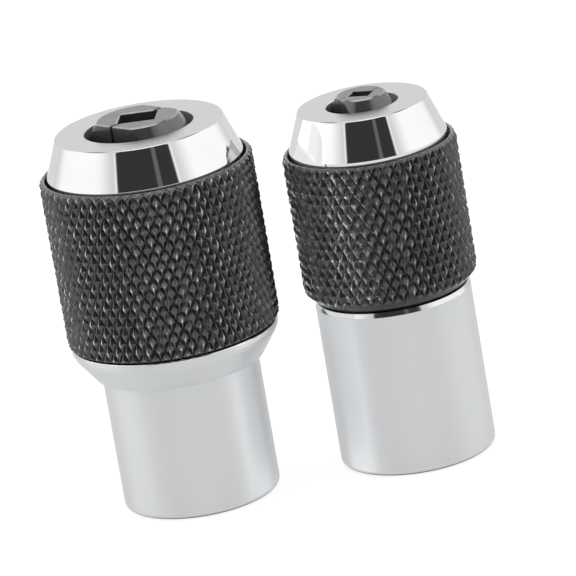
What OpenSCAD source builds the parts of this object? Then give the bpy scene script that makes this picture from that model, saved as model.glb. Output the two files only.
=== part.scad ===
// A pair of adjustable tap sockets: a large one and a small one, standing side by side.
// Each has a square-drive body with a threaded stud, a knurled sleeve that screws on it,
// and a conical nose cap that pushes two V-notched jaws together.
// Every bracketed pair of values is [large socket, small socket].

/* [Pair] */
// Distance between the two socket axes, left to right
pair_x = 31; // [28:0.5:60]
// How far the small socket stands behind the large one
pair_y = 2.65; // [0:0.05:2.65]

/* [Body] */
// Diameter of the lower body
body_d = [22.1, 22]; // [21:0.1:24]
// Height of the straight lower body
body_h = [19.5, 23.9]; // [19:0.1:24]
// Diameter at the foot of the flange's cone
flare_d = [23.9, 22]; // [21:0.1:25]
// Height of the flange's cone, or 0 for a body with no flange
flare_h = [3.45, 0]; // [0:0.05:4]
// Diameter of the flange under the sleeve
flange_d = [29.1, 22]; // [21:0.1:30]
// Height of the flange's top face
flange_top = [24.4, 23.9]; // [23.5:0.05:24.5]
// Chamfer at the foot of the body
foot_chamfer = [0.9, 0.9]; // [0.2:0.1:1.5]
// Chamfer at the top edge of the flange
flange_chamfer = [0.2, 0.6]; // [0.1:0.1:0.8]
// Major diameter of the threaded stud
stud_d = [23.8, 19.2]; // [18:0.1:24]
// Height of the stud's top face
stud_top = [38.6, 37.6]; // [37:0.1:39]

/* [Square drive] */
// Width across the flats of the drive socket
drive_square = 12.8; // [12.7:0.05:13]
// Depth of the drive socket
drive_depth = 16; // [14:0.5:17]
// Height of the detent groove's middle above the foot
detent_z = 7.5; // [6:0.5:9]

/* [Sleeve] */
// Outer diameter over the knurl
sleeve_d = [30, 24.6]; // [24:0.1:31]
// Height of the sleeve's lower face
sleeve_bottom = [24.65, 24.3]; // [24:0.05:25]
// Height of the sleeve's top face
sleeve_top = [48.76, 45.6]; // [45:0.01:49]
// Width of the chamfer at the lower edge
lower_chamfer = [0.4, 1.7]; // [0.1:0.1:2]
// Width of the chamfer at the top edge
upper_chamfer = [0.5, 0.5]; // [0.1:0.1:1]
// Length of the internal thread
thread_len = 5.4; // [4:0.1:6]
// Thread pitch, which is the nose cap's travel for each turn of the sleeve
thread_pitch = 1.5; // [1:0.25:2]

/* [Nose cap] */
// Diameter at the foot of the cap's cone
cap_foot_d = [27.6, 22.24]; // [22:0.02:28]
// Height of the foot of the cone
cap_foot_z = [49, 46.15]; // [46:0.05:49.2]
// Diameter at the top of the cone
cap_top_d = [23.54, 18.22]; // [18:0.02:24]
// Height of the cap's top face
cap_top = [54.34, 51.54]; // [51:0.02:55]
// Diameter of the jaw opening
cap_hole_d = [15.24, 10.06]; // [10:0.02:15.4]
// Outer diameter of the skirt inside the sleeve
skirt_d = [26, 21]; // [20.9:0.1:26.1]

/* [Jaws] */
// Height that the jaws stand above the cap
jaw_proud = [1.3, 1.3]; // [0.5:0.05:2]
// Radius of the jaws' top face when closed
jaw_top_r = [5.6, 3.4]; // [3:0.1:5.8]
// Angle between the jaw cone and the socket axis
jaw_cone = 30; // [28:1:32]
// Width of the jaws across their flat sides
jaw_width = [9.3, 6.6]; // [6.2:0.1:9.4]
// Radius of the jaws inside the cap
jaw_mid_r = [9.7, 7.5]; // [7:0.1:9.8]
// Radius of the jaws inside the stud
jaw_low_r = [8.8, 6.8]; // [6.5:0.1:9]
// Depth of each jaw's V notch
notch_depth = [3.3, 1.95]; // [1.5:0.05:3.4]
// How far each notch sits off the middle of its jaw
notch_shift = [0.1, 0.1]; // [0:0.1:0.4]
// How far each jaw stands open as stored
jaw_open = [0.25, 0.08]; // [0.05:0.01:0.4]
// Direction across the jaws' flat sides
jaw_angle = [43, 22.5]; // [0:0.5:90]
// Angle between the split and the direction across the flats
split_skew = [-6, 0]; // [-8:0.5:8]

/* [Hidden] */
LARGE = 0;
SMALL = 1;

$fn = 96;
eps = 0.01;

// The frame's origin is the middle of the pair's outline, on the ground
large_x = (sleeve_d[LARGE] - sleeve_d[SMALL]) / 4 - pair_x / 2;
place = [[large_x, 0, 0], [large_x + pair_x, pair_y, 0]];

// Clearances
thread_play = 0.08;
turn_play = 0.05;
slide_play = 0.05;
cone_play = 0.08;
face_play = 0.02;

// Stud, thread and travel
neck_h = 1.6;
neck_cut = 0.9;
open_travel = [3.3, 3.2];
thread_top = [for (i = [LARGE, SMALL]) sleeve_bottom[i] + thread_len];
stop_z = [for (i = [LARGE, SMALL]) thread_top[i] + open_travel[i] + 0.1];
stop_h = 1;
stop_depth = 0.6;
stop_proud = 0.75;
slot_floor = 30.6;
stud_chamfer = 0.4;

// Sleeve bores
bore_top_z = [for (i = [LARGE, SMALL]) cap_foot_z[i] - 2.6];
mouth_r = [for (i = [LARGE, SMALL]) cap_foot_d[i] / 2 + 0.33];
washer_h = 0.6;

// Nose cap and snap ring
skirt_bottom = [40.4, 38.9];
skirt_wall = 0.95;
wire_d = 1;
snap_z = [for (i = [LARGE, SMALL]) skirt_bottom[i] + 1.6];

// Springs
spring_wire = [0.5, 0.4];
spring_r = [1.5, 1.2];
pocket_r = [1.95, 1.6];
pocket_depth = [5.4, 4.2];
pocket_lead = 0.5;
spring_turns = 6;
spring_gap = [0.6, 0.4];
spring_z = [[33.6, 38.2], [33.2, 37]];
spring_sides = 6;
spring_steps = 12;
notch_floor = [41.6, 39.8];

function jaw_top(i) = cap_top[i] + jaw_proud[i];
function jaw_cone_z(i, r) = jaw_top(i) - (r - jaw_top_r[i]) / tan(jaw_cone);
function cap_cone_z(i, r) = jaw_cone_z(i, r - jaw_open[i] - cone_play);

// Body: lower body, flare, flange, thread neck and stud in one turned outline
module body_blank(i) {
    r = body_d[i] / 2;
    f = flange_d[i] / 2;
    s = stud_d[i] / 2;
    c = foot_chamfer[i];
    t = flange_top[i];
    rim = body_h[i] + flare_h[i];
    flare = flare_h[i] > 0
        ? [[r, body_h[i]], [flare_d[i] / 2, body_h[i] + 0.1], [f - 0.25, rim], [f, rim + 0.65]]
        : [];
    rotate_extrude()
        polygon(concat(
            [[0, 0], [r - c, 0], [r, c]],
            flare,
            [[f, t - flange_chamfer[i]], [f - flange_chamfer[i], t]],
            [[s - neck_cut, t], [s - neck_cut, t + neck_h], [s, t + neck_h + neck_cut]],
            [[s, stop_z[i]], [s - stop_depth, stop_z[i]]],
            [[s - stop_depth, stop_z[i] + stop_h + 0.1], [s, stop_z[i] + stop_h + 0.1]],
            [[s, stud_top[i] - stud_chamfer], [s - stud_chamfer, stud_top[i]], [0, stud_top[i]]]));
}

module drive_socket() {
    translate([0, 0, drive_depth / 2 - eps])
        cube([drive_square, drive_square, drive_depth + 2 * eps], center = true);
    // Lead-in chamfer at the mouth
    translate([0, 0, -eps])
        cylinder(h = 1.2, r1 = drive_square * 0.62, r2 = drive_square * 0.5);
    // Groove for the drive's detent ball
    translate([0, 0, detent_z - 1.6])
        cylinder(h = 3.2, r = drive_square / 2 + 0.9);
}

module body(i) {
    color("gainsboro")
        translate(place[i])
            difference() {
                body_blank(i);
                drive_socket();
                rotate([0, 0, jaw_angle[i]])
                    translate([-jaw_width[i] / 2 - slide_play, -stud_d[i], slot_floor])
                        cube([jaw_width[i] + 2 * slide_play, 2 * stud_d[i], stud_top[i]]);
            }
}

// Sleeve: knurled outside, threaded at the bottom, with a wide bore for the cap's skirt
module knurled_sleeve(i) {
    r = sleeve_d[i] / 2;
    lower = lower_chamfer[i];
    upper = upper_chamfer[i];
    thread_r = stud_d[i] / 2 + thread_play;
    skirt_r = skirt_d[i] / 2 + turn_play;
    groove_r = skirt_d[i] / 2 + wire_d / 2;
    color("dimgray")
        translate(place[i])
            rotate_extrude()
                polygon([
                    [thread_r + 0.3, sleeve_bottom[i]], [r - lower, sleeve_bottom[i]],
                    [r, sleeve_bottom[i] + lower], [r, sleeve_top[i] - upper],
                    [r - upper, sleeve_top[i]], [mouth_r[i], sleeve_top[i]],
                    [mouth_r[i], bore_top_z[i]], [skirt_r, bore_top_z[i]],
                    [skirt_r, snap_z[i] + wire_d / 2 + 0.1], [groove_r, snap_z[i] + wire_d / 2 + 0.1],
                    [groove_r, snap_z[i] - wire_d / 2 - 0.1], [skirt_r, snap_z[i] - wire_d / 2 - 0.1],
                    [skirt_r, thread_top[i]], [thread_r, thread_top[i]],
                    [thread_r, sleeve_bottom[i] + 0.3]]);
}

// Nose cap: conical nose, inner cone that drives the jaws, and a skirt inside the sleeve
module nose_cap(i) {
    foot_r = cap_foot_d[i] / 2;
    skirt_r = skirt_d[i] / 2;
    inner_r = skirt_r - skirt_wall;
    hole_r = cap_hole_d[i] / 2;
    groove_r = skirt_r - wire_d / 2;
    shoulder = bore_top_z[i] + washer_h + face_play;
    color("silver")
        translate(place[i])
            rotate_extrude()
                polygon([
                    [inner_r, skirt_bottom[i]], [skirt_r, skirt_bottom[i]],
                    [skirt_r, snap_z[i] - wire_d / 2], [groove_r, snap_z[i] - wire_d / 2],
                    [groove_r, snap_z[i] + wire_d / 2], [skirt_r, snap_z[i] + wire_d / 2],
                    [skirt_r, shoulder], [foot_r, shoulder],
                    [foot_r, cap_foot_z[i]], [cap_top_d[i] / 2, cap_top[i]],
                    [hole_r, cap_top[i]], [hole_r, cap_cone_z(i, hole_r)],
                    [inner_r, cap_cone_z(i, inner_r)]]);
}

// One jaw, drawn closed, on the +Y side of the split
module jaw_blank(i) {
    w = jaw_width[i];
    low_z = slot_floor + slide_play;
    mid_z = skirt_bottom[i] + 0.4;
    lean = w / 2 * tan(split_skew[i]);
    intersection() {
        rotate_extrude()
            polygon([
                [0, low_z], [jaw_low_r[i], low_z], [jaw_low_r[i], mid_z],
                [jaw_mid_r[i], mid_z + 1], [jaw_mid_r[i], jaw_cone_z(i, jaw_mid_r[i])],
                [jaw_top_r[i], jaw_top(i)], [0, jaw_top(i)]]);
        translate([0, 0, low_z - 1])
            linear_extrude(jaw_top(i))
                polygon([[-w / 2, -lean], [w / 2, lean], [w / 2, w + jaw_mid_r[i]],
                         [-w / 2, w + jaw_mid_r[i]]]);
    }
}

module jaw(i, side) {
    notch = notch_depth[i] * sqrt(2);
    color("slategray")
        translate(place[i])
            rotate([0, 0, jaw_angle[i] + (side > 0 ? 0 : 180)])
                translate([0, jaw_open[i], 0])
                    difference() {
                        jaw_blank(i);
                        translate([-notch_shift[i], 0, notch_floor[i]])
                            rotate([0, 0, 45 + split_skew[i]])
                                translate([-notch / 2, -notch / 2, 0])
                                    cube([notch, notch, jaw_top(i)]);
                        for (z = spring_z[i])
                            translate([0, -pocket_lead, z])
                                rotate([-90, 0, 0])
                                    cylinder(h = pocket_depth[i] + pocket_lead, r = pocket_r[i], $fn = 48);
                    }
}

// A helical wire of round section along +Z, from 0 to length
function coil_point(i, length, k, a) =
    let (turn = k / spring_steps,
         rise = spring_wire[i] / 2 + (length - spring_wire[i]) * turn / spring_turns,
         reach = spring_r[i] + spring_wire[i] / 2 * cos(a))
    [reach * cos(360 * turn), reach * sin(360 * turn), rise + spring_wire[i] / 2 * sin(a)];

module coil(i, length) {
    rings = spring_turns * spring_steps;
    n = spring_sides;
    points = [for (k = [0:rings], j = [0:n - 1]) coil_point(i, length, k, -360 * j / n)];
    walls = [for (k = [0:rings - 1], j = [0:n - 1])
        [k * n + j, k * n + (j + 1) % n, (k + 1) * n + (j + 1) % n, (k + 1) * n + j]];
    start = [for (j = [n - 1:-1:0]) j];
    end = [for (j = [0:n - 1]) rings * n + j];
    polyhedron(points, concat([start], walls, [end]), convexity = 4);
}

// Spring between the jaws: it rests in the rear jaw's pocket and reaches into the front jaw's
module jaw_spring(i, level) {
    length = 2 * pocket_depth[i] + 2 * jaw_open[i] - spring_gap[i];
    color("darkgray")
        translate(place[i] + [0, 0, spring_z[i][level]])
            rotate([0, 0, jaw_angle[i]])
                translate([0, jaw_open[i] + pocket_depth[i] - 0.02, 0])
                    rotate([90, 0, 0])
                        coil(i, length);
}

// Round-wire ring that holds the cap in the sleeve, open at one side
module snap_ring(i) {
    color("darkgray")
        translate(place[i] + [0, 0, snap_z[i]])
            rotate([0, 0, 120])
                rotate_extrude(angle = 330)
                    translate([skirt_d[i] / 2, 0])
                        circle(d = wire_d - 0.06, $fn = 24);
}

// Flat ring in the stud's groove that stops the sleeve from screwing off
module stop_ring(i) {
    inner = stud_d[i] / 2 - stop_depth;
    color("darkgray")
        translate(place[i] + [0, 0, stop_z[i] + 0.05])
            rotate([0, 0, jaw_angle[i] + 15])
                rotate_extrude(angle = 330)
                    translate([inner, 0])
                        square([stop_depth + stop_proud, stop_h]);
}

// Washer between the cap's shoulder and the sleeve
module thrust_washer(i) {
    inner = skirt_d[i] / 2 + 0.1;
    outer = mouth_r[i] - 0.15;
    color("goldenrod")
        translate(place[i] + [0, 0, bore_top_z[i]])
            difference() {
                cylinder(h = washer_h, r = outer);
                translate([0, 0, -eps])
                    cylinder(h = washer_h + 2 * eps, r = inner);
            }
}

body(LARGE);  // large_body
knurled_sleeve(LARGE);  // large_knurled_sleeve
nose_cap(LARGE);  // large_nose_cap
jaw(LARGE, -1);  // large_front_jaw
jaw(LARGE, 1);  // large_rear_jaw
jaw_spring(LARGE, 1);  // large_upper_spring
jaw_spring(LARGE, 0);  // large_lower_spring
snap_ring(LARGE);  // large_snap_ring
stop_ring(LARGE);  // large_stop_ring
thrust_washer(LARGE);  // large_thrust_washer
body(SMALL);  // small_body
knurled_sleeve(SMALL);  // small_knurled_sleeve
nose_cap(SMALL);  // small_nose_cap
jaw(SMALL, -1);  // small_front_jaw
jaw(SMALL, 1);  // small_rear_jaw
jaw_spring(SMALL, 1);  // small_upper_spring
jaw_spring(SMALL, 0);  // small_lower_spring
snap_ring(SMALL);  // small_snap_ring
stop_ring(SMALL);  // small_stop_ring
thrust_washer(SMALL);  // small_thrust_washer
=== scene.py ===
"""Looks of a pair of adjustable tap sockets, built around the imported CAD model.

Every visible turned part is remade as a fine mesh with its real edges: the sleeves get
a cut diamond knurl, the studs a real thread and the jaws ground bevels. Each piece is
drawn about its own socket's axis, in millimetres, and placed where the CAD says.
"""
import math

import bmesh
import bpy
import numpy as np
from mathutils import Matrix, Vector


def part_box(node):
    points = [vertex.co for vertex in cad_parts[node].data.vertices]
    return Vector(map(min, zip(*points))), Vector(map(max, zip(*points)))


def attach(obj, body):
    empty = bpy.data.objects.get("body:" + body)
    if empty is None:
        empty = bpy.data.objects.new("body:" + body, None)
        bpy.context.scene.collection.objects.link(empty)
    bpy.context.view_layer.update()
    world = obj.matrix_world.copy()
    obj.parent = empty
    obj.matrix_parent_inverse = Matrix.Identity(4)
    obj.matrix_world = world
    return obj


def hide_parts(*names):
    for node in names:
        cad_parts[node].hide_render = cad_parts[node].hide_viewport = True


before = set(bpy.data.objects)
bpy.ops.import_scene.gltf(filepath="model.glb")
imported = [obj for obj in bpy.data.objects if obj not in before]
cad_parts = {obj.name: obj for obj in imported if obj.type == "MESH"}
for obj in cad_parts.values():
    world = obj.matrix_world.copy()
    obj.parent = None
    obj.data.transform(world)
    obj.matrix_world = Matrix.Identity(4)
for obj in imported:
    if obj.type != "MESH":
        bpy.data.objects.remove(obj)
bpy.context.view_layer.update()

MM = 0.001
TURN = 2 * math.pi
BODY_COLUMNS, CAP_COLUMNS, JAW_COLUMNS, POCKET_COLUMNS = 256, 288, 192, 48   # round each turned mesh
SHARP_ANGLE, KNURL_SHARP_ANGLE, JAW_SHARP_ANGLE = (math.radians(a) for a in (32, 75, 20))

# Sizes of each socket that its boxes don't give, in millimetres and degrees. flare is the height
# of the cone under the flange, or 0. flange_edge holds the corners of the flange's top as (out, up,
# radius), and lip is how far the polish reaches down from there. jaw_open is how far each jaw stands
# from where the two would meet. knurl_tone scales the black of the knurl, and knurl_rub is how
# bright its rubbed ridges are.
SOCKETS = {
    "large": {
        "body_r": 11.05, "foot_fillet": 0.9, "straight_top": 19.5, "flare_r": 11.95, "flare": 3.45,
        "flange_r": 14.55, "flange_top": 24.4, "flange_edge": ((0.0, 0.0, 0.2),), "lip": 0.28,
        "stud_r": 11.9, "stop_z": 33.45, "thread_top": 30.05,
        "lower_chamfer": 0.4, "upper_chamfer": 0.5,
        "knurl_starts": 60, "knurl_pitch": 2.61, "knurl_depth": 0.6,
        "knurl_tone": 1.0, "knurl_rub": 0.5,
        "cap_foot": 49.0, "cap_top_r": 11.77, "cap_hole_r": 7.62, "foot_edge": 0.12,
        "skirt_r": 13.0, "shoulder": 47.02, "snap_z": 42.0,
        "jaw_angle": 43.0, "jaw_width": 9.3, "jaw_top_r": 5.6, "jaw_mid_r": 9.7, "jaw_low_r": 8.8,
        "jaw_open": 0.25, "notch_depth": 3.3, "notch_shift": 0.1, "split_skew": -6.0,
        "notch_floor": 41.6, "pocket_r": 1.95, "pocket_depth": 5.4,
        "spring_z": {"lower": 33.6, "upper": 38.2}, "spring_wire": 0.5, "spring_r": 1.5,
        "spring_gap": 0.6,
    },
    "small": {
        "body_r": 11.0, "foot_fillet": 0.9, "flare": 0.0,
        "flange_r": 11.0, "flange_top": 24.14,
        "flange_edge": ((0.0, -0.64, 0.15), (-0.28, 0.0, 0.08)), "lip": 0.7,
        "stud_r": 9.6, "stop_z": 33.0, "thread_top": 29.7,
        "lower_chamfer": 1.7, "upper_chamfer": 0.5,
        "knurl_starts": 49, "knurl_pitch": 2.69, "knurl_depth": 0.6,
        "knurl_tone": 0.8, "knurl_rub": 0.34,
        "cap_foot": 46.15, "cap_top_r": 9.11, "cap_hole_r": 5.03, "foot_edge": 0.4,
        "skirt_r": 10.5, "shoulder": 44.17, "snap_z": 40.5,
        "jaw_angle": 22.5, "jaw_width": 6.6, "jaw_top_r": 3.4, "jaw_mid_r": 7.5, "jaw_low_r": 6.8,
        "jaw_open": 0.08, "notch_depth": 1.95, "notch_shift": 0.1, "split_skew": 0.0,
        "notch_floor": 39.8, "pocket_r": 1.6, "pocket_depth": 4.2,
        "spring_z": {"lower": 33.2, "upper": 37.0}, "spring_wire": 0.4, "spring_r": 1.2,
        "spring_gap": 0.4,
    },
}
DRIVE_HALF, DRIVE_DEPTH = 6.4, 16.0
DRIVE_MOUTH_R, DRIVE_MOUTH_DEPTH = 7.94, 1.2
DRIVE_FLOOR = (0.97, 0.3)         # the floor's share of the width, and the height of its edge
DRIVE_SQUARENESS = 28             # power of the rounded square: a higher one has sharper corners
DETENT = (5.9, 9.1, 7.3)          # lowest and highest z, and radius
FLANGE_BAND = 0.65                # upright stretch between the flare and the flange's edge
PITCH, THREAD_DEPTH = 1.5, 0.7
THREAD_CREST, THREAD_FLANKS = 0.2, 0.6   # shares of the pitch
THREAD_RUN_OUT, SLEEVE_RUN_OUT = 0.5, 0.6
THREAD_ENDS = (0.1, 0.15)         # its rows start and stop this far from the neck and the groove
THREAD_PLAY = 0.08                # between the stud's crests and the sleeve
ROOT_PLAY = 0.12                  # between the sleeve's crests and the stud's roots, of the depth
STUD_ROWS, SLEEVE_ROWS = 12, 8    # mesh rows for each turn of the two threads
NECK_CUT, NECK_HEIGHT = 0.9, 1.6
STOP_CUT, STOP_HEIGHT = 0.6, 1.1  # the stop ring's groove
STUD_CHAMFER = 0.4
SLOT_FLOOR, SLOT_PLAY = 30.6, 0.05
MOUTH_PLAY, MOUTH_DEPTH = 0.33, 2.6      # of the cap's foot in the sleeve's mouth
MOUTH_CHAMFER = 0.12
SLEEVE_LEAD = 0.3                 # chamfer where the sleeve's thread starts
LOWER_EDGE, UPPER_EDGE = (0.06, 0.02), (0.08, 0.02)      # tiny chamfers at the sleeve's ends
SKIRT_PLAY, SKIRT_WALL = 0.05, 0.95
SNAP_CUT, SNAP_HALF, SNAP_PLAY = 0.5, 0.5, 0.1   # the snap ring's grooves in sleeve and cap
JAW_CONE = math.tan(math.radians(30))
CONE_PLAY = 0.08
JAW_EDGE = 0.17                   # chamfer round the jaws' top edges and the square hole
JAW_EDGE_OUT = 0.1                # the top chamfer starts this far outside the cone's top radius
JAW_SHOULDER, JAW_SLOPE = 0.4, 1.0       # where the jaws widen over the skirt's foot, and how high
POCKET_LEAD = 0.5                 # the cutter of a pocket starts this far outside the jaw's flat
SPRING_TURNS, SPRING_STEPS = 6, 24
SPRING_END = 0.02                 # between a spring and the floor of its pocket
KNURL_STEPS = 6                   # mesh steps across half a diamond
KNURL_CREST = (0.03, 0.2)         # worn flat at the top of a diamond, as a share of its half
KNURL_MARGIN = 0.05               # the knurl's rows keep this far from both ends
WEAR_HASH = (12.99, 78.23, 4375.85)      # turn a diamond's two numbers into its chance

# Colours, as linear red, green and blue
# The foot colour on the next line is painted shade, for the dark line where each body's foot meets the
# floor
BODY_COLOR, FOOT_SHADE_COLOR = (0.547, 0.558, 0.57), (0.12, 0.12, 0.12)
CAP_COLOR, CAP_FACE_COLOR, CAP_INSIDE_COLOR = (0.62, 0.625, 0.63), (0.54, 0.545, 0.55), (0.3, 0.3, 0.305)
JAW_COLOR, JAW_EDGE_COLOR = (0.1, 0.1, 0.103), (0.26, 0.26, 0.262)
# The groove colour on the next line is painted shade, for the knurl's grooves where the diamonds shade
# each other
GROOVE_SHADE_COLOR, SLEEVE_RIM_COLOR = (0.035, 0.035, 0.035), (0.13, 0.13, 0.132)
FACET_TONES = (0.05, 0.11)
WIRE_COLOR, WIRE_COLORS = (0.45, 0.45, 0.46), ((0.34, 0.34, 0.35), (0.52, 0.52, 0.53))
BRASS_COLORS = ((0.52, 0.36, 0.13), (0.72, 0.54, 0.24))
PAPER_COLORS, PAPER_GLOW = ((0.27, 0.27, 0.27), (0.29, 0.29, 0.29)), 0.84
NOISE = (0.3, 0.7)                # the values that most noise lies between
FOOT_SHADE = (0.28, 0.44)         # painted shade on the foot's rounded edge, fading out between these heights


def limits(node):
    """Lowest and highest corner of a CAD node in millimetres."""
    low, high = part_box(node)
    return low / MM, high / MM


def read_boxes(name, s):
    """Adds the sizes that the CAD nodes' boxes give, and those that follow from them."""
    low, high = limits(name + "_knurled_sleeve")
    s["axis"] = ((low + high) / 2).xy
    s["sleeve_r"] = (high.x - low.x) / 2
    s["sleeve_bottom"], s["sleeve_top"] = low.z, high.z
    low, high = limits(name + "_nose_cap")
    s["cap_r"] = (high.x - low.x) / 2
    s["skirt_bottom"], s["cap_top"] = low.z, high.z
    low, high = limits(name + "_front_jaw")
    s["jaw_bottom"], s["jaw_top"] = low.z, high.z
    low, high = limits(name + "_body")
    s["stud_top"] = high.z
    s["mouth_r"] = s["cap_r"] + MOUTH_PLAY
    s["bore_top"] = s["cap_foot"] - MOUTH_DEPTH


# ---------------------------------------------------------------- mesh helpers

def fillet(corners, steps=6, support=0.03):
    """Rounds an outline. Each corner is (r, z, radius); a radius of 0 keeps it sharp.

    Two support points hold the flat stretches flat beside each round."""
    points = []
    count = len(corners)
    for k, (r, z, radius) in enumerate(corners):
        here = np.array([r, z], float)
        if radius <= 0:
            points.append(here)
            continue
        before = np.array(corners[k - 1][:2], float) - here
        after = np.array(corners[(k + 1) % count][:2], float) - here
        a, b = before / np.linalg.norm(before), after / np.linalg.norm(after)
        half = math.acos(np.clip(a @ b, -1, 1)) / 2
        reach = radius / math.tan(half)
        middle = (a + b) / np.linalg.norm(a + b)
        centre = here + middle * radius / math.sin(half)
        start, end = here + a * reach, here + b * reach
        points.append(start + a * support)
        sweep = math.pi - 2 * half
        for i in range(steps + 1):
            t = i / steps
            p = ((start - centre) * math.sin(sweep * (1 - t))
                 + (end - centre) * math.sin(sweep * t)) / math.sin(sweep)
            points.append(centre + p)
        points.append(end + b * support)
    return [(float(p[0]), float(p[1])) for p in points]


def grid_faces(rows, columns, loop, split=None):
    """Quads, or triangles where split gives a diagonal, round a turned grid."""
    k = np.arange(rows if loop else rows - 1)
    j = np.arange(columns)
    k, j = (a.ravel() for a in np.meshgrid(k, j, indexing="ij"))
    a = k * columns + j
    b = k * columns + (j + 1) % columns
    c = (k + 1) % rows * columns + (j + 1) % columns
    d = (k + 1) % rows * columns + j
    if split is None:
        return np.stack([a, b, c, d], 1).tolist()
    kind = split[k, j]
    plain, falling, rising = kind == 0, kind == 1, kind == 2
    faces = np.stack([a, b, c, d], 1)[plain].tolist()
    for mask, first, second in ((rising, (a, b, c), (a, c, d)), (falling, (a, b, d), (b, c, d))):
        faces += np.stack(first, 1)[mask].tolist() + np.stack(second, 1)[mask].tolist()
    return faces


def add_object(name, data):
    """A new object in the scene."""
    obj = bpy.data.objects.new(name, data)
    bpy.context.scene.collection.objects.link(obj)
    return obj


def new_object(name, vertices, faces):
    """A smooth-shaded object from points in millimetres."""
    mesh = bpy.data.meshes.new(name)
    mesh.from_pydata((np.asarray(vertices, float) * MM).tolist(), [], faces)
    work = bmesh.new()
    work.from_mesh(mesh)
    bmesh.ops.remove_doubles(work, verts=work.verts, dist=1e-8)
    bmesh.ops.dissolve_degenerate(work, edges=work.edges, dist=1e-9)
    work.to_mesh(mesh)
    work.free()
    mesh.shade_smooth()
    return add_object(name, mesh)


class Rows:
    """The rows of a turned solid, each with one radius or one for each column."""

    def __init__(self, columns, points=()):
        self.columns = columns
        self.angle = np.arange(columns) * TURN / columns
        self.radii, self.heights = [], []
        for point in points:
            self.add(*point)

    def add(self, r, z):
        self.radii.append(np.broadcast_to(r, self.columns).copy())
        self.heights.append([z])

    def solid(self, name, loop=True, split=None):
        """The solid itself. It closes on itself if loop, and otherwise at two poles of radius 0."""
        radii, heights = np.array(self.radii, float), np.array(self.heights, float)
        vertices = np.stack([radii * np.cos(self.angle), radii * np.sin(self.angle),
                             np.broadcast_to(heights, radii.shape)], -1).reshape(-1, 3)
        return new_object(name, vertices, grid_faces(*radii.shape, loop, split))


def loft(name, rings):
    """A closed solid through four-cornered rings, each given as (corners, z)."""
    vertices = [(x, y, z) for corners, z in rings for x, y in corners]
    faces = [(3, 2, 1, 0), tuple(range(len(vertices) - 4, len(vertices)))]
    for ring in range(0, len(vertices) - 4, 4):
        for k in range(4):
            n = (k + 1) % 4
            faces.append((ring + k, ring + n, ring + 4 + n, ring + 4 + k))
    return new_object(name, vertices, faces)


def rectangle(x, y):
    """Corners of a rectangle about the axis, from half its sides."""
    return [(-x, -y), (x, -y), (x, y), (-x, y)]


def spin(obj, degrees, axis="Z"):
    """Turns an object's mesh."""
    obj.data.transform(Matrix.Rotation(math.radians(degrees), 4, axis))


def shift(obj, x, y, z):
    """Moves an object's mesh, in millimetres."""
    obj.data.transform(Matrix.Translation((x * MM, y * MM, z * MM)))


def evaluated_mesh(obj):
    """A mesh of an object as its modifiers or its bevel make it."""
    graph = bpy.context.evaluated_depsgraph_get()
    return bpy.data.meshes.new_from_object(obj.evaluated_get(graph))


def cut(obj, tool, operation="DIFFERENCE"):
    """Applies one exact boolean and throws the tool away."""
    modifier = obj.modifiers.new("cut", "BOOLEAN")
    modifier.operation = operation
    modifier.solver = "EXACT"
    modifier.object = tool
    mesh = evaluated_mesh(obj)
    obj.modifiers.clear()
    obj.data = mesh
    bpy.data.objects.remove(tool)


def finish_piece(obj, socket, body, slot, materials, *nodes):
    """Puts a piece on its socket's axis, on its body, in place of its nodes. slot is not used."""
    obj.location = (socket["axis"].x * MM, socket["axis"].y * MM, 0)
    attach(obj, body)
    if nodes:
        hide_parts(*nodes)
    for material in materials:
        obj.data.materials.append(material)


# ---------------------------------------------------------------- materials

class Nodes:
    """A node tree, with short calls for the nodes that repeat."""

    def __init__(self, tree):
        self.tree = tree

    def new(self, kind):
        return self.tree.nodes.new(kind)

    def link(self, source, target):
        self.tree.links.new(source, target)

    def feed(self, node, *values):
        """Gives a node's first inputs a number or a socket each, and returns its output."""
        for socket, value in zip(node.inputs, values):
            if isinstance(value, (int, float)):
                socket.default_value = value
            else:
                self.link(value, socket)
        return node.outputs[0]

    def math(self, operation, a, b=0.0):
        node = self.new("ShaderNodeMath")
        node.operation = operation
        return self.feed(node, a, b)

    def vector(self, x, y, z):
        return self.feed(self.new("ShaderNodeCombineXYZ"), x, y, z)

    def ramp(self, value, low, high, to_low=0.0, to_high=1.0, smooth=False):
        """value from low..high onto to_low..to_high, held at the ends."""
        node = self.new("ShaderNodeMapRange")
        node.interpolation_type = "SMOOTHSTEP" if smooth else "LINEAR"
        node.clamp = True
        self.link(value, node.inputs["Value"])
        for key, number in (("From Min", low), ("From Max", high),
                            ("To Min", to_low), ("To Max", to_high)):
            node.inputs[key].default_value = number
        return node.outputs["Result"]

    def separate(self, source):
        """The x, y and z of a coordinate output."""
        split = self.new("ShaderNodeSeparateXYZ")
        self.link(source, split.inputs[0])
        return tuple(split.outputs)


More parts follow.
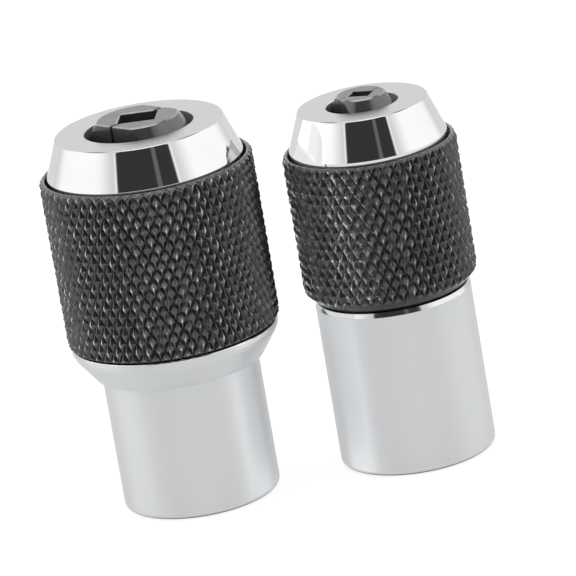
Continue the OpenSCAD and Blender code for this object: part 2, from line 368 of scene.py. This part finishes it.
class Shader(Nodes):
    """A material in its object's own coordinates. color is for viewers that read no nodes."""

    def __init__(self, name, metallic=1.0, roughness=0.3, color=(0.6, 0.6, 0.6)):
        self.material = bpy.data.materials.new(name)
        self.material.use_nodes = True
        super().__init__(self.material.node_tree)
        self.bsdf = self.tree.nodes["Principled BSDF"]
        self.inputs = self.bsdf.inputs
        self.inputs["Metallic"].default_value = metallic
        self.inputs["Roughness"].default_value = roughness
        self.inputs["Base Color"].default_value = (*color, 1)
        self.place = self.new("ShaderNodeTexCoord").outputs["Object"]
        self.x, self.y, self.height = self.separate(self.place)

    def drive(self, key, source):
        """Links one of the shader's own sockets."""
        self.link(source, self.inputs[key])

    def radius(self):
        """Distance from the socket's axis, in metres."""
        x = self.math("MULTIPLY", self.x, self.x)
        y = self.math("MULTIPLY", self.y, self.y)
        return self.math("SQRT", self.math("ADD", x, y))

    def angle(self):
        """Angle round the socket's axis, in radians."""
        return self.math("ARCTAN2", self.y, self.x)

    def noise(self, scale, detail=3.0, vector=None, roughness=0.55):
        node = self.new("ShaderNodeTexNoise")
        node.inputs["Scale"].default_value = scale
        node.inputs["Detail"].default_value = detail
        node.inputs["Roughness"].default_value = roughness
        self.link(vector or self.place, node.inputs["Vector"])
        return node.outputs["Fac"]

    def mix(self, factor, dark, light):
        """A colour between two, each a tuple or a socket."""
        node = self.new("ShaderNodeMix")
        node.data_type = "RGBA"
        self.link(factor, node.inputs["Factor"])
        for key, value in (("A", dark), ("B", light)):
            socket = next(i for i in node.inputs if i.name == key and i.type == "RGBA")
            if isinstance(value, tuple):
                socket.default_value = (*value, 1)
            else:
                self.link(value, socket)
        return next(o for o in node.outputs if o.type == "RGBA")

    def weigh(self, first, second, share):
        """Two values added up, the first with its share and the second with the rest."""
        return self.math("ADD", self.math("MULTIPLY", first, share),
                         self.math("MULTIPLY", second, 1.0 - share))

    def bump(self, height, strength, distance):
        node = self.new("ShaderNodeBump")
        node.inputs["Strength"].default_value = strength
        node.inputs["Distance"].default_value = distance
        self.link(height, node.inputs["Height"])
        self.drive("Normal", node.outputs["Normal"])

    def lathe_marks(self, fine=9000.0):
        """Noise drawn out round the axis, as a lathe or a polishing wheel leaves it."""
        reach = self.math("ADD", self.radius(), self.height)
        return self.noise(1.0, 2.0, self.vector(self.math("MULTIPLY", self.angle(), 1.5),
                                                self.math("MULTIPLY", reach, fine), 0.0))


def brighter(color, factor):
    return tuple(min(1.0, c * factor) for c in color)


def polished_chrome(name, color, low, high):
    """Mirror chrome with faint polishing marks and a little haze; low and high are its roughness."""
    s = Shader(name)
    haze = s.noise(240.0, 4.0)
    marks = s.lathe_marks()
    s.drive("Roughness", s.ramp(s.weigh(haze, marks, 0.7), 0.35, 0.65, low, high))
    clouds = s.ramp(s.noise(90.0, 2.0), 0.35, 0.65)
    s.drive("Base Color", s.mix(clouds, color, brighter(color, 1.05)))
    s.inputs["Specular Tint"].default_value = (0.8, 0.8, 0.8, 1)
    s.bump(marks, 0.04, 0.00002)
    return s.material


def satin_chrome(name, color, edge_z, foot_r):
    """Satin chrome with cloudy patches, polished above edge_z, with painted shade where the foot rounds.

    Both sizes are in millimetres; the flat of the foot lies inside foot_r."""
    s = Shader(name)
    edge = s.ramp(s.height, edge_z * MM, (edge_z + 0.08) * MM)
    clouds = s.noise(70.0, 3.0, s.vector(s.x, s.y, s.math("MULTIPLY", s.height, 0.35)))
    marks = s.lathe_marks()
    shade = s.mix(s.ramp(clouds, *NOISE), color, brighter(color, 1.07))
    # Painted shade: near the floor the foot's rounded edge darkens to the foot colour, while the flat
    # inside foot_r keeps the body's colour
    low, high = (z * MM for z in FOOT_SHADE)
    inside = s.ramp(s.radius(), foot_r * MM, (foot_r + 0.1) * MM, 1.0, 0.0)
    foot = s.math("MAXIMUM", s.ramp(s.height, low, high), inside)
    s.drive("Base Color", s.mix(foot, FOOT_SHADE_COLOR, shade))
    satin = s.ramp(s.weigh(clouds, marks, 0.6), *NOISE, 0.28, 0.36)
    s.drive("Roughness", s.math("MULTIPLY", satin, s.ramp(edge, 0.0, 1.0, 1.0, 0.35)))
    s.drive("Metallic", s.ramp(edge, 0.0, 1.0, 0.6, 1.0))
    s.inputs["Specular Tint"].default_value = (0.7, 0.7, 0.7, 1)
    s.bump(marks, 0.05, 0.00002)
    return s.material


def turned_face(name, color):
    """Chromed end face with fine turning rings."""
    s = Shader(name)
    marks = s.lathe_marks(14000.0)
    s.drive("Roughness", s.ramp(marks, *NOISE, 0.24, 0.36))
    s.drive("Base Color", s.mix(s.noise(160.0, 3.0), color, brighter(color, 1.06)))
    s.bump(marks, 0.1, 0.00003)
    return s.material


def black_oxide(name, socket):
    """Blackened steel: painted shade in the grooves, clean facets, and upright ridges rubbed bright here
    and there.
    """
    s = Shader(name)
    crest, depth = socket["sleeve_r"] * MM, socket["knurl_depth"] * MM
    low, high = (tone * socket["knurl_tone"] for tone in FACET_TONES)
    facets = s.mix(s.ramp(s.noise(900.0, 4.0), *NOISE), (low,) * 3, (high,) * 3)
    # Painted shade: from about a third of the knurl's depth down, the colour darkens towards the groove
    # colour, by distance from the axis
    rising = s.ramp(s.radius(), crest - depth, crest - 0.35 * depth, smooth=True)
    shade = s.mix(rising, GROOVE_SHADE_COLOR, facets)
    ridges = s.math("MULTIPLY", s.angle(), 2 * socket["knurl_starts"] / TURN)
    ridges = s.math("FRACT", s.math("ADD", ridges, 0.5))
    ridge = s.ramp(s.math("ABSOLUTE", s.math("SUBTRACT", ridges, 0.5)), 0.07, 0.2, 1.0, 0.0)
    tips = s.ramp(s.radius(), crest - 0.4 * depth, crest - 0.1 * depth, smooth=True)
    chance = s.ramp(s.noise(700.0, 2.0), 0.44, 0.62)
    rubbed = s.math("MULTIPLY", s.math("MULTIPLY", tips, ridge), chance)
    rim = (socket["sleeve_top"] - socket["upper_chamfer"]) * MM
    shade = s.mix(s.ramp(s.height, rim, rim + 0.1 * MM), shade, SLEEVE_RIM_COLOR)
    bright = socket["knurl_rub"]
    s.drive("Base Color", s.mix(rubbed, shade, (bright, bright, 0.98 * bright)))
    s.drive("Metallic", s.ramp(rubbed, 0.0, 1.0, 0.7, 1.0))
    s.drive("Roughness", s.ramp(s.noise(1500.0, 3.0), *NOISE, 0.16, 0.3))
    s.bump(s.noise(2000.0, 4.0), 0.7, 0.00008)
    return s.material


def ground_steel(name, color, metallic, low, high):
    """Dark hardened steel with fine grinding marks; low and high are its roughness."""
    s = Shader(name, metallic=metallic)
    grain = s.noise(1.0, 3.0, s.vector(s.math("MULTIPLY", s.x, 900.0), s.math("MULTIPLY", s.y, 900.0),
                                       s.math("MULTIPLY", s.height, 9000.0)))
    s.drive("Base Color", s.mix(s.ramp(grain, *NOISE), color, brighter(color, 1.35)))
    s.drive("Roughness", s.ramp(s.noise(500.0, 3.0), *NOISE, low, high))
    s.bump(grain, 0.12, 0.00002)
    return s.material


def spring_steel(name):
    """Plain drawn wire and strip."""
    s = Shader(name, color=WIRE_COLOR)
    grain = s.noise(2200.0, 3.0)
    s.drive("Base Color", s.mix(grain, *WIRE_COLORS))
    s.drive("Roughness", s.ramp(grain, *NOISE, 0.25, 0.4))
    return s.material


def brass(name):
    """Turned brass with fine rings and slight tarnish."""
    s = Shader(name)
    s.drive("Base Color", s.mix(s.noise(300.0, 3.0), *BRASS_COLORS))
    s.drive("Roughness", s.ramp(s.lathe_marks(), *NOISE, 0.25, 0.38))
    return s.material


# ---------------------------------------------------------------- pieces

def thread_wave(angle, z):
    """0 on the crest of the external thread and 1 in its root, for a right-hand helix."""
    phase = np.mod(z / PITCH - angle / TURN, 1.0)
    return np.clip((np.abs(phase - 0.5) * 2 - THREAD_CREST) / THREAD_FLANKS, 0, 1)


def drive_rows(rows):
    """The square drive socket from its floor down, with a detent groove and a turned mouth."""
    power = DRIVE_SQUARENESS
    across, along = np.abs(np.cos(rows.angle)), np.abs(np.sin(rows.angle))
    square = DRIVE_HALF / (across ** power + along ** power) ** (1 / power)
    low, high, groove = DETENT
    rows.add(0.0, DRIVE_DEPTH)
    rows.add(square * DRIVE_FLOOR[0], DRIVE_DEPTH)
    rows.add(square, DRIVE_DEPTH - DRIVE_FLOOR[1])
    rows.add(square, high)
    rows.add(np.maximum(square, groove), high)
    rows.add(np.maximum(square, groove), low)
    rows.add(square, low)
    rows.add(square, DRIVE_MOUTH_DEPTH + 0.1)
    for z in np.linspace(1.0, 0.0, 6):
        mouth = DRIVE_MOUTH_R - z * (DRIVE_MOUTH_R - DRIVE_HALF) / DRIVE_MOUTH_DEPTH
        rows.add(np.maximum(square, mouth), z)


def body_outline(s):
    """Outside of the foot, the flare, the flange and the neck, from the foot up."""
    r, f, neck, top = s["body_r"], s["flange_r"], s["stud_r"] - NECK_CUT, s["flange_top"]
    outline = [(r - 1.0, 0.0, 0), (r, 0.0, s["foot_fillet"])]
    if s["flare"]:
        straight = s["straight_top"]
        rim = straight + s["flare"]
        outline += [(r, straight, 0.12), (s["flare_r"], straight + 0.1, 0.22),
                    (f - 0.25, rim, 0.15), (f, rim + FLANGE_BAND, 0.15)]
    outline += [(f + out, top + up, radius) for out, up, radius in s["flange_edge"]]
    outline += [(neck, top, 0.15), (neck, top + NECK_HEIGHT, 0), (0.0, top + NECK_HEIGHT, 0)]
    return fillet(outline, steps=8)[1:-1]


def stud_rows(rows, s):
    """The thread, run in at the neck and out at the stop ring's groove, and the stud's end."""
    stud, stop, top = s["stud_r"], s["stop_z"], s["stud_top"]
    start = s["flange_top"] + NECK_HEIGHT
    for z in np.arange(start + THREAD_ENDS[0], stop - THREAD_ENDS[1], PITCH / STUD_ROWS):
        lead = min(1.0, (z - start) / NECK_CUT, (stop + 0.1 - z) / THREAD_RUN_OUT)
        crest = stud - NECK_CUT * (1 - lead)
        rows.add(np.minimum(stud - THREAD_DEPTH * thread_wave(rows.angle, z), crest), z)
    for point in ((stud - STOP_CUT, stop), (stud - STOP_CUT, stop + STOP_HEIGHT),
                  (stud, stop + STOP_HEIGHT), (stud, top - STUD_CHAMFER),
                  (stud - STUD_CHAMFER, top), (0.0, top)):
        rows.add(*point)


def body(name, s):
    """Lower body, flange, threaded and slotted stud, and the square drive socket."""
    rows = Rows(BODY_COLUMNS)
    drive_rows(rows)
    for point in body_outline(s):
        rows.add(*point)
    stud_rows(rows, s)
    obj = rows.solid(name + "_body_turned", loop=False)
    across = rectangle(s["jaw_width"] / 2 + SLOT_PLAY, s["stud_r"] + 2)
    slot = loft("slot", [(across, SLOT_FLOOR), (across, s["stud_top"] + 2)])
    spin(slot, s["jaw_angle"])
    cut(obj, slot)
    obj.data.set_sharp_from_angle(angle=SHARP_ANGLE)
    chrome = satin_chrome(name + "_body_chrome", BODY_COLOR, s["flange_top"] - s["lip"],
                          s["body_r"] - s["foot_fillet"])
    finish_piece(obj, s, name + "_socket", "body_chrome", [chrome], name + "_body")


def groove(t):
    """0 midway between two grooves of the knurl and 1 in a groove; t counts grooves."""
    return np.abs(np.mod(t, 1.0) - 0.5) * 2


def wear(s, right, left):
    """A different flat for each diamond, the same one on both sides of the seam."""
    across, up = np.floor(right), np.floor(right) - np.floor(left)
    a, b, c = WEAR_HASH
    chance = np.mod(np.sin(np.mod(across, s["knurl_starts"]) * a + up * b) * c, 1.0)
    return KNURL_CREST[0] + (KNURL_CREST[1] - KNURL_CREST[0]) * chance


def knurl_rows(rows, s):
    """The outside, from the bottom up. Returns the first and the last row that the knurl cuts."""
    around = rows.angle / TURN * s["knurl_starts"]
    outer, period, depth = s["sleeve_r"], s["knurl_pitch"], s["knurl_depth"]
    bottom, top = s["sleeve_bottom"], s["sleeve_top"]
    low_r, high_r = outer - s["lower_chamfer"], outer - s["upper_chamfer"]
    rows.add(low_r - LOWER_EDGE[0], bottom)
    rows.add(low_r, bottom + LOWER_EDGE[1])
    first = len(rows.heights)
    step = period / 2 / KNURL_STEPS
    for k in range(math.ceil(bottom / step), math.floor(top / step) + 1):
        z = k * step
        if z < bottom + KNURL_MARGIN or z > top - KNURL_MARGIN:
            continue
        right, left = around + z / period, around - z / period
        deep = np.maximum(groove(right), groove(left))
        diamond = outer - depth * np.clip(deep - wear(s, right, left), 0, 1)
        rows.add(np.minimum(diamond, min(low_r + (z - bottom), high_r + (top - z))), z)
    last = len(rows.heights) - 1
    rows.add(high_r, top - UPPER_EDGE[1])
    rows.add(high_r - UPPER_EDGE[0], top)
    return first, last


def bore_rows(rows, s):
    """The inside, from the top down: mouth, bore, the snap ring's groove and the thread."""
    top, ring, mouth = s["sleeve_top"], s["snap_z"], s["mouth_r"]
    skirt, snap, half = s["skirt_r"] + SKIRT_PLAY, s["skirt_r"] + SNAP_CUT, SNAP_HALF + SNAP_PLAY
    for point in ((mouth + MOUTH_CHAMFER, top), (mouth, top - MOUTH_CHAMFER), (mouth, s["bore_top"]),
                  (skirt, s["bore_top"]), (skirt, ring + half), (snap, ring + half),
                  (snap, ring - half), (skirt, ring - half), (skirt, s["thread_top"])):
        rows.add(*point)
    inner, bottom = s["stud_r"] + THREAD_PLAY, s["sleeve_bottom"]
    for z in np.arange(s["thread_top"], bottom + SLEEVE_LEAD, -PITCH / SLEEVE_ROWS):
        wave = np.clip(thread_wave(rows.angle, z) - ROOT_PLAY, 0, 1)
        lead = min(1.0, (z - bottom) / SLEEVE_RUN_OUT)
        rows.add(inner - THREAD_DEPTH * (1 - ROOT_PLAY) * wave * lead, z)


def knurl_split(rows, s, first, last):
    """Which diagonal splits each quad of the knurl, so that its grooves and ridges stay straight."""
    split = np.zeros((len(rows.heights), rows.columns), int)
    middle = (np.arange(rows.columns) + 0.5) / rows.columns * s["knurl_starts"]
    for k in range(first, last):
        z = (rows.heights[k][0] + rows.heights[k + 1][0]) / 2
        rising, falling = groove(middle + z / s["knurl_pitch"]), groove(middle - z / s["knurl_pitch"])
        split[k] = np.where(rising > falling, 1, 2)
    return split


def knurled_sleeve(name, s):
    """Sleeve with a diamond knurl cut by two crossing sets of grooves, and an inner thread."""
    rows = Rows(s["knurl_starts"] * 2 * KNURL_STEPS)
    rows.add(s["stud_r"] + THREAD_PLAY + SLEEVE_LEAD, s["sleeve_bottom"])
    first, last = knurl_rows(rows, s)
    bore_rows(rows, s)
    obj = rows.solid(name + "_sleeve_knurled", split=knurl_split(rows, s, first, last))
    obj.data.set_sharp_from_angle(angle=KNURL_SHARP_ANGLE)
    finish_piece(obj, s, name + "_sleeve", "sleeve_black", [black_oxide(name + "_black_oxide", s)],
                 name + "_knurled_sleeve")


def cone_z(s, r, play=0.0):
    """Height at which the jaw cone, or the cap's cone with play, has radius r."""
    return s["jaw_top"] - (r - play - s["jaw_top_r"]) / JAW_CONE


def nose_cap(name, s):
    """Conical nose with a turned end face, the closing cone inside, and the skirt."""
    skirt, inner, hole = s["skirt_r"], s["skirt_r"] - SKIRT_WALL, s["cap_hole_r"]
    play = s["jaw_open"] + CONE_PLAY
    low, high, top = s["snap_z"] - SNAP_HALF, s["snap_z"] + SNAP_HALF, s["cap_top"]
    outline = fillet([
        (inner, s["skirt_bottom"], 0), (skirt, s["skirt_bottom"], 0.2),
        (skirt, low, 0), (skirt - SNAP_CUT, low, 0), (skirt - SNAP_CUT, high, 0), (skirt, high, 0),
        (skirt, s["shoulder"], 0), (s["cap_r"], s["shoulder"], 0.15),
        (s["cap_r"], s["cap_foot"], s["foot_edge"]), (s["cap_top_r"], top, 0.3),
        (hole, top, 0.28), (hole, cone_z(s, hole, play), 0.2),
        (inner, cone_z(s, inner, play), 0.3)])
    obj = Rows(CAP_COLUMNS, outline).solid(name + "_nose_cone")
    obj.data.set_sharp_from_angle(angle=SHARP_ANGLE)
    finish_piece(obj, s, name + "_cap", "cap_chrome", [CAP_CHROME, CAP_FACE, CAP_INSIDE],
                 name + "_nose_cap")
    face_z = (top - 0.03) * MM
    for polygon in obj.data.polygons:
        if polygon.center.z > face_z and polygon.normal.z > 0.99:
            polygon.material_index = 1
        elif polygon.normal.z < 0.5 and polygon.normal.xy.dot(polygon.center.xy) < 0:
            polygon.material_index = 2


def jaw_half(s):
    """The space on one side of the split, with chamfers along the jaw's straight top edges."""
    half, top, skew = s["jaw_width"] / 2, s["jaw_top"], math.tan(math.radians(s["split_skew"]))
    c, far = JAW_EDGE, 20

    def ring(inset):
        a, b = -half + inset, half - inset
        return [(a, a * skew + inset), (b, b * skew + inset), (b, far), (a, far)]

    return loft("half", [(ring(0), 0), (ring(0), top - c), (ring(c), top)])


def jaw_notch(s):
    """The V notch of both jaws together: a square hole with a chamfered mouth."""
    top, c = s["jaw_top"], JAW_EDGE

    def ring(grow):
        half = s["notch_depth"] / math.sqrt(2) + grow
        return rectangle(half, half)

    notch = loft("notch", [(ring(0), s["notch_floor"]), (ring(0), top - c), (ring(2 * c), top + c)])
    spin(notch, 45 + s["split_skew"])
    shift(notch, -s["notch_shift"], 0, 0)
    return notch


def spring_pocket(s, z):
    """A round pocket for one spring's end, into the jaw's flat."""
    rows = Rows(POCKET_COLUMNS, [(0.0, -POCKET_LEAD), (s["pocket_r"], -POCKET_LEAD),
                                 (s["pocket_r"], s["pocket_depth"]), (0.0, s["pocket_depth"])])
    pocket = rows.solid("pocket", loop=False)
    spin(pocket, -90, "X")
    shift(pocket, 0, 0, z)
    return pocket


def jaw(name, s, side):
    """One V-notched jaw with ground flats, spring pockets and chamfered top edges."""
    bottom, top, edge = s["jaw_bottom"], s["jaw_top"], JAW_EDGE
    shoulder, cone_r = s["skirt_bottom"] + JAW_SHOULDER, s["jaw_top_r"] + JAW_EDGE_OUT
    outline = [(0.0, bottom), (s["jaw_low_r"], bottom), (s["jaw_low_r"], shoulder),
               (s["jaw_mid_r"], shoulder + JAW_SLOPE), (s["jaw_mid_r"], cone_z(s, s["jaw_mid_r"])),
               (cone_r, cone_z(s, cone_r)), (s["jaw_top_r"] - edge, top),
               (s["jaw_top_r"] - 2 * edge, top + edge), (0.0, top + edge)]
    obj = Rows(JAW_COLUMNS, outline).solid(f"{name}_{side}_jaw_ground", loop=False)
    cut(obj, jaw_half(s), "INTERSECT")
    cut(obj, jaw_notch(s))
    for z in s["spring_z"].values():
        cut(obj, spring_pocket(s, z))
    shift(obj, 0, s["jaw_open"], 0)
    spin(obj, s["jaw_angle"] + (180 if side == "front" else 0))
    obj.data.shade_smooth()
    obj.data.set_sharp_from_angle(angle=JAW_SHARP_ANGLE)
    finish_piece(obj, s, f"{name}_{side}", "jaw_steel", [JAW_STEEL, JAW_EDGES], f"{name}_{side}_jaw")
    edge_z = (top - edge - 0.01) * MM
    for polygon in obj.data.polygons:
        polygon.material_index = int(polygon.center.z > edge_z and 0.6 < polygon.normal.z < 0.95)


def spring(name, s, level):
    """A coil spring of round wire across the split between the jaws."""
    wire, reach = s["spring_wire"], s["pocket_depth"] + s["jaw_open"]
    length = 2 * s["pocket_depth"] + 2 * s["jaw_open"] - s["spring_gap"]
    curve = bpy.data.curves.new("wire", "CURVE")
    curve.dimensions = "3D"
    curve.bevel_depth = wire / 2 * MM
    curve.bevel_resolution = 3
    curve.use_fill_caps = True
    spline = curve.splines.new("POLY")
    last = SPRING_TURNS * SPRING_STEPS
    spline.points.add(last)
    turn = Matrix.Rotation(math.radians(s["jaw_angle"]), 3, "Z")
    for k in range(last + 1):
        a = TURN * k / SPRING_STEPS
        along = reach - SPRING_END - wire / 2 - (length - wire) * k / last
        point = turn @ Vector((s["spring_r"] * math.cos(a), along,
                               s["spring_z"][level] + s["spring_r"] * math.sin(a)))
        spline.points[k].co = (*(point * MM), 1)
    wire_curve = add_object("wire", curve)
    obj = add_object(f"{name}_{level}_spring_wire", evaluated_mesh(wire_curve))
    bpy.data.objects.remove(wire_curve)
    finish_piece(obj, s, name + "_rear", "spring_steel", [SPRING_STEEL], f"{name}_{level}_spring")


def paint(node, material):
    """Gives a CAD node that stays its own material."""
    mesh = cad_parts[node].data
    mesh.materials.clear()
    mesh.materials.append(material)


# ---------------------------------------------------------------- studio

FLOOR_HALF = 6.0                  # in metres

# The studio round the pair: azimuth is 0 towards the camera and 90 to the right, in degrees
GAP = (-37.0, 37.5)               # dark gap in front, between the two soft boxes
GAP_LEVEL, GAP_EDGE = 0.05, 1.5
STREAK = (12.0, 17.5)             # narrow pale strip inside the gap
STREAK_LEVEL, STREAK_EDGE = 0.14, 0.8
WALL_LEVEL = 1.45
EDGE_SHARE, EDGE_REACH = 0.62, 28.0      # how the soft boxes start beside the gap, and over how far
RIM_WIDTH, RIM_LEVEL, RIM_EDGE = 3.0, 0.3, 0.5   # bright rim of each soft box
BACK, BACK_SHARE = (115.0, 135.0), 0.69  # the wall behind, as a share of the soft boxes' level
WALL_TOP = (0.72, 0.78)           # where the walls end, as the sine of the height
OVERHEAD = (0.86, 0.92)           # where the light overhead begins
OVERHEAD_LEVEL = 1.6
CORNER_LEVEL = 0.25               # between the two


def floor():
    """Pale light table: it glows softly, so the shadows under the pair stay faint.

    It is clear from below, so the undersides can be looked at."""
    mesh = bpy.data.meshes.new("floor")
    mesh.from_pydata([(x, y, 0) for x, y in rectangle(FLOOR_HALF, FLOOR_HALF)], [], [(0, 1, 2, 3)])
    obj = add_object("floor", mesh)
    s = Shader("floor_paper", metallic=0.0, roughness=0.9)
    s.drive("Base Color", s.mix(s.noise(6.0, 2.0), *PAPER_COLORS))
    s.inputs["Specular IOR Level"].default_value = 0.05
    s.inputs["Emission Color"].default_value = (1, 1, 1, 1)
    s.inputs["Emission Strength"].default_value = PAPER_GLOW
    side = s.new("ShaderNodeNewGeometry")
    clear = s.new("ShaderNodeBsdfTransparent")
    mix = s.new("ShaderNodeMixShader")
    s.link(side.outputs["Backfacing"], mix.inputs[0])
    s.link(s.bsdf.outputs[0], mix.inputs[1])
    s.link(clear.outputs[0], mix.inputs[2])
    s.link(mix.outputs[0], s.tree.nodes["Material Output"].inputs["Surface"])
    obj.data.materials.append(s.material)


def studio_world():
    """White soft boxes to the left and right, a paler wall behind and a dark gap in front."""
    world = bpy.data.worlds.new("studio")
    bpy.context.scene.world = world
    world.use_nodes = True
    tree = Nodes(world.node_tree)

    def times(a, b):
        return tree.math("MULTIPLY", a, b)

    def plus(a, b):
        return tree.math("ADD", a, b)

    def band(value, low, high, to_low, to_high):
        return tree.ramp(value, low, high, to_low, to_high, smooth=True)

    def strip(low, high, soft, level):
        """A pale strip between two azimuths."""
        rise = band(azimuth, low - soft, low + soft, 0.0, 1.0)
        fall = band(azimuth, high - soft, high + soft, 1.0, 0.0)
        return times(times(rise, fall), level)

    x, y, z = tree.separate(tree.new("ShaderNodeTexCoord").outputs["Generated"])
    azimuth = times(tree.math("ARCTAN2", x, times(y, -1.0)), 180 / math.pi)
    left = band(azimuth, GAP[0] - GAP_EDGE, GAP[0] + GAP_EDGE, 1.0, 0.0)
    right = band(azimuth, GAP[1] - GAP_EDGE, GAP[1] + GAP_EDGE, 0.0, 1.0)
    aside = tree.math("ABSOLUTE", azimuth)
    away = times(band(aside, *BACK, 1.0, BACK_SHARE),
                 band(aside, GAP[1], GAP[1] + EDGE_REACH, EDGE_SHARE, 1.0))
    walls = times(times(plus(left, right), away), WALL_LEVEL)
    rims = plus(strip(GAP[1], GAP[1] + RIM_WIDTH, RIM_EDGE, RIM_LEVEL),
                strip(GAP[0] - RIM_WIDTH, GAP[0], RIM_EDGE, RIM_LEVEL))
    front = plus(rims, plus(strip(*STREAK, STREAK_EDGE, STREAK_LEVEL), GAP_LEVEL))
    level = times(plus(walls, front), band(z, *WALL_TOP, 1.0, 0.0))
    level = plus(level, band(z, *WALL_TOP, 0.0, CORNER_LEVEL))
    level = plus(level, band(z, *OVERHEAD, 0.0, OVERHEAD_LEVEL - CORNER_LEVEL))
    background = tree.tree.nodes["Background"]
    tree.link(level, background.inputs["Strength"])
    background.inputs["Color"].default_value = (1, 1, 1, 1)


# Soft lights that only the named piece receives: azimuth from the socket, and watts
FILLS = (
    ("large", "body_turned", 95.0, 0.05), ("large", "body_turned", -95.0, 0.025),
    ("large", "body_turned", 0.0, 0.012), ("small", "body_turned", 95.0, 0.01),
    ("small", "body_turned", -95.0, 0.075), ("small", "body_turned", 0.0, 0.012),
    ("small", "sleeve_knurled", -125.0, 0.27),
)
FILL_DISTANCE, FILL_SIZE, FILL_HEIGHT, FILL_AIM = 200.0, 200.0, -45.0, 12.0
# White cards beside the large socket: the small piece that mirrors each, and its y and z range
CARDS = (("nose_cone", (-9.5, 5.5), (22.0, 54.5)), ("body_turned", (-10.0, 9.0), (24.6, 36.0)))
CARD_X, CARD_LEVEL = 1.0, 1.2


def linked_light(name, shape, size, watts, place, aim, piece):
    """An area light without shadows that only the given piece receives."""
    data = bpy.data.lights.new(name, "AREA")
    data.shape, data.size, data.energy = shape, size[0] * MM, watts
    if shape == "RECTANGLE":
        data.size_y = size[1] * MM
    data.use_shadow = False
    obj = add_object(name, data)
    obj.location = place * MM
    obj.rotation_euler = (place - aim).to_track_quat("Z", "Y").to_euler()
    lit = bpy.data.collections.new(name + "_lit")
    lit.objects.link(bpy.data.objects[piece])
    obj.light_linking.receiver_collection = lit
    return obj


def fill_light(name, part, azimuth, watts):
    """Lifts one side of a socket, which the other socket would darken."""
    axis = SOCKETS[name]["axis"]
    a = math.radians(azimuth)
    place = Vector((*axis, FILL_HEIGHT)) + Vector((math.sin(a), -math.cos(a), 0)) * FILL_DISTANCE
    obj = linked_light(name + "_fill", "DISK", (FILL_SIZE,), watts, place, Vector((*axis, FILL_AIM)),
                       f"{name}_{part}")
    obj.data.cycles.use_multiple_importance_sampling = False


def card_light(part, across, up):
    """White card beside the large socket, which a small piece mirrors in its place."""
    size = across[1] - across[0], up[1] - up[0]
    place = Vector((CARD_X, sum(across) / 2, sum(up) / 2))
    watts = CARD_LEVEL * math.pi * size[0] * size[1] * MM * MM
    obj = linked_light(part + "_card", "RECTANGLE", size, watts, place, place + Vector((1, 0, 0)),
                       "small_" + part)
    obj.visible_camera = False


CAMERA_ELEVATION, CAMERA_ROLL = 17.07, -9.67     # in degrees
CAMERA_TARGET, CAMERA_DISTANCE = (2.46, 8.95, 24.8), 889.08
CAMERA_LENS, CAMERA_SENSOR = 394.5, 36.0
CAMERA_CLIP = (0.05, 20.0)        # in metres


def camera():
    """Long lens at the picture's viewing angle, rolled a little."""
    elevation, roll = math.radians(CAMERA_ELEVATION), math.radians(CAMERA_ROLL)
    target = Vector(CAMERA_TARGET) * MM
    distance = CAMERA_DISTANCE * MM
    forward = Vector((0, math.cos(elevation), -math.sin(elevation)))
    side = Vector((1, 0, 0))
    up = side.cross(forward)
    right = math.cos(roll) * side + math.sin(roll) * up
    above = -math.sin(roll) * side + math.cos(roll) * up
    data = bpy.data.cameras.new("camera")
    data.sensor_width, data.lens = CAMERA_SENSOR, CAMERA_LENS
    data.clip_start, data.clip_end = CAMERA_CLIP
    obj = add_object("camera", data)
    matrix = Matrix((right, above, -forward)).transposed().to_4x4()
    matrix.translation = target - forward * distance
    obj.matrix_world = matrix
    bpy.context.scene.camera = obj


camera()
floor()
studio_world()
bpy.context.scene.view_settings.view_transform = "Standard"

CAP_CHROME = polished_chrome("cap_chrome", CAP_COLOR, 0.03, 0.06)
CAP_FACE = turned_face("cap_face", CAP_FACE_COLOR)
CAP_INSIDE = ground_steel("cap_inside", CAP_INSIDE_COLOR, 0.4, 0.35, 0.45)
JAW_STEEL = ground_steel("jaw_steel", JAW_COLOR, 0.55, 0.16, 0.24)
JAW_EDGES = ground_steel("jaw_edges", JAW_EDGE_COLOR, 1.0, 0.18, 0.26)
SPRING_STEEL = spring_steel("spring_steel")
BRASS = brass("washer_brass")

for name, s in SOCKETS.items():
    read_boxes(name, s)
    body(name, s)
    knurled_sleeve(name, s)
    nose_cap(name, s)
    for side in ("front", "rear"):
        jaw(name, s, side)
    for level in ("lower", "upper"):
        spring(name, s, level)
    paint(name + "_snap_ring", SPRING_STEEL)
    paint(name + "_stop_ring", SPRING_STEEL)
    paint(name + "_thrust_washer", BRASS)

for fill in FILLS:
    fill_light(*fill)
for card in CARDS:
    card_light(*card)
